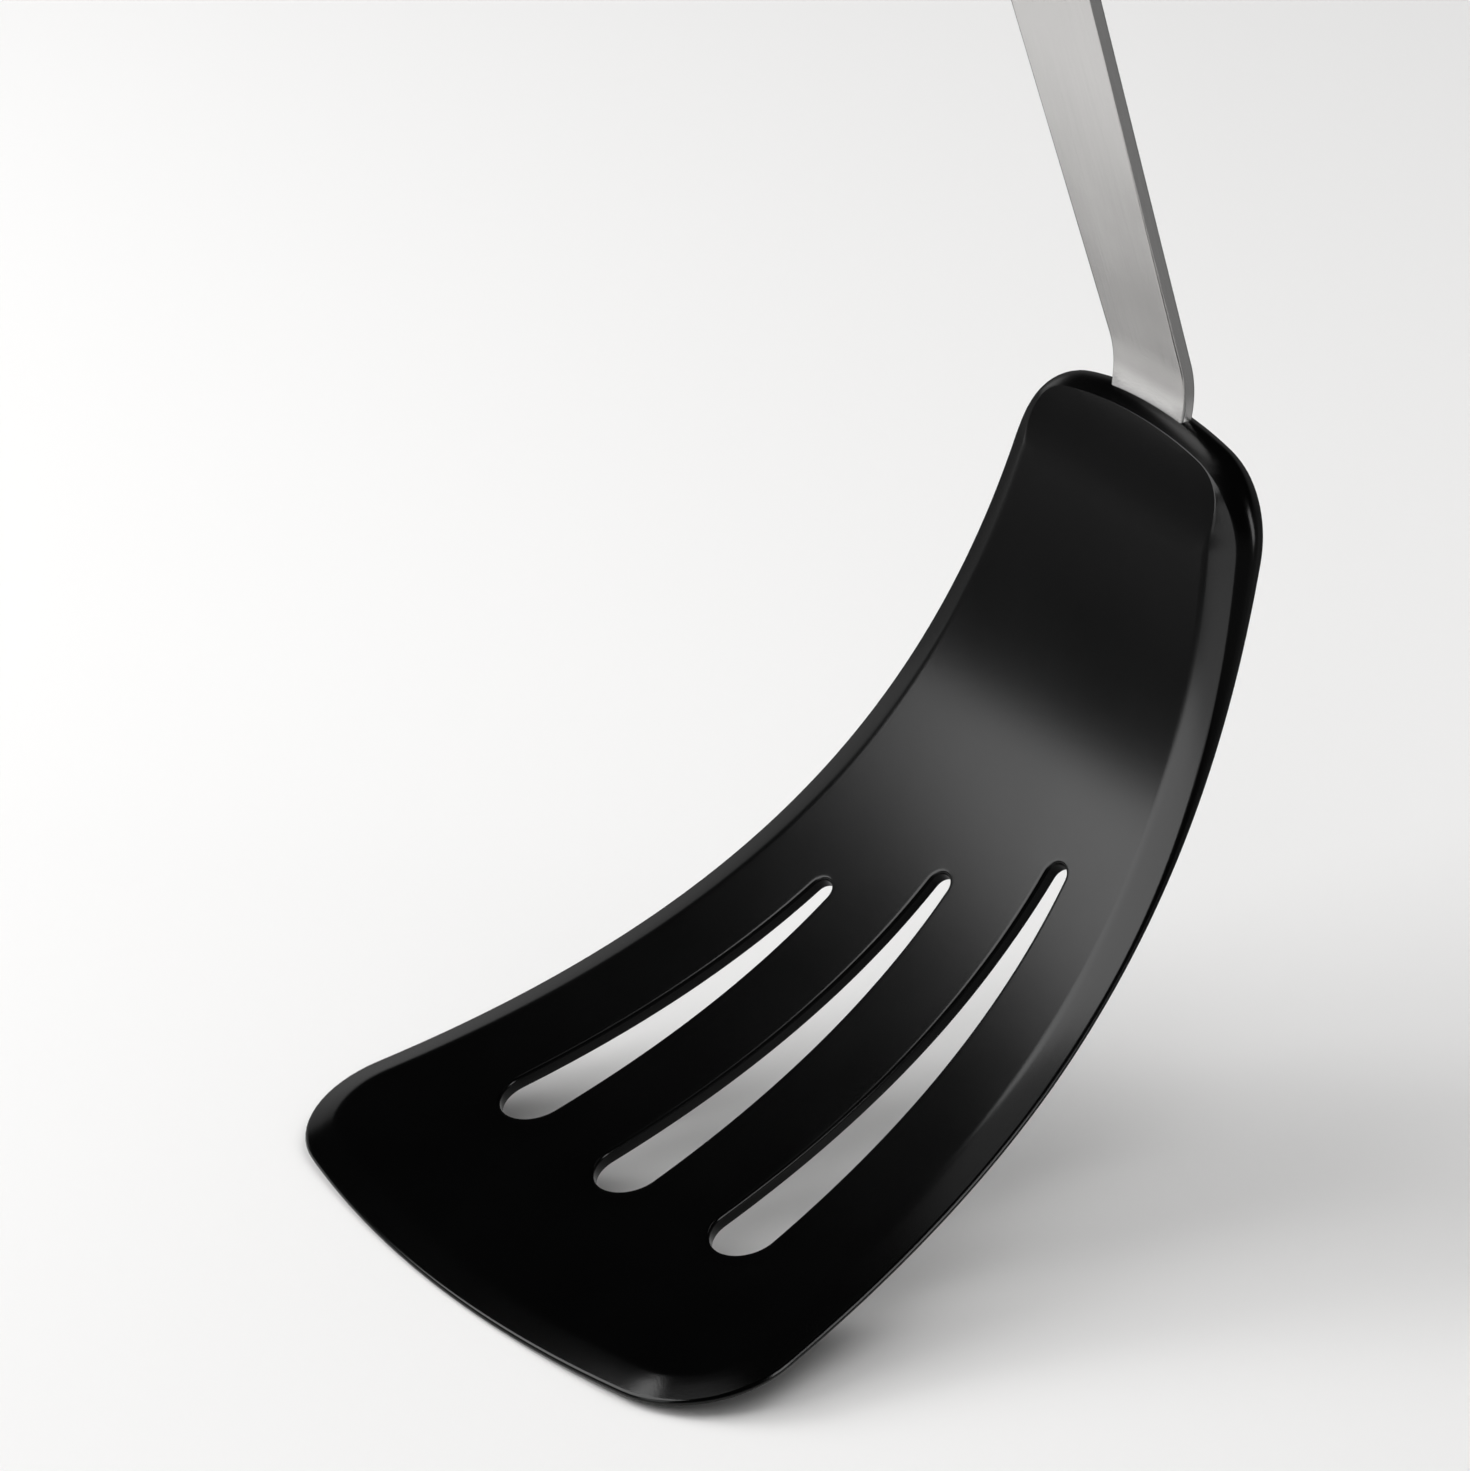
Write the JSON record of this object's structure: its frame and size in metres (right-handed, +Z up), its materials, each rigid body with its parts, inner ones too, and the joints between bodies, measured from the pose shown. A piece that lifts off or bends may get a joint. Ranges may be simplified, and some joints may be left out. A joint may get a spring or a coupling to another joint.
{
  "type": "omelette spatula",
  "caption": "Slotted omelette turner: a curved flexible black blade with a thin leading edge, on a bent flat steel neck with a soft grip and a hang hole.",
  "frame": {"origin": "middle of the grip, on the line of the neck", "axes": "+Z up, as the turner stands on its leading edge; +X across the blade to its right seen from behind the leading edge; +Y from the leading edge to the rear of the blade"},
  "size_m": [0.0966, 0.1131, 0.3305],
  "materials": {
    "silicone": "satin moulded",
    "spring_steel": "cold rolled",
    "brushed_steel": "brushed lengthwise",
    "hard_plastic": "fine matt",
    "soft_rubber": "soft matt"
  },
  "bodies": {
    "root": {"blade_skin": "silicone", "spring_core": "spring_steel", "neck_strap": "brushed_steel", "core_rivet_left": "spring_steel", "core_rivet_right": "spring_steel", "collar": "hard_plastic", "handle_core": "hard_plastic", "grip_sleeve": "soft_rubber", "end_cap": "hard_plastic", "hang_eyelet": "brushed_steel", "tang_pin_lower": "spring_steel", "tang_pin_upper": "spring_steel"}
  },
  "joints": []
}
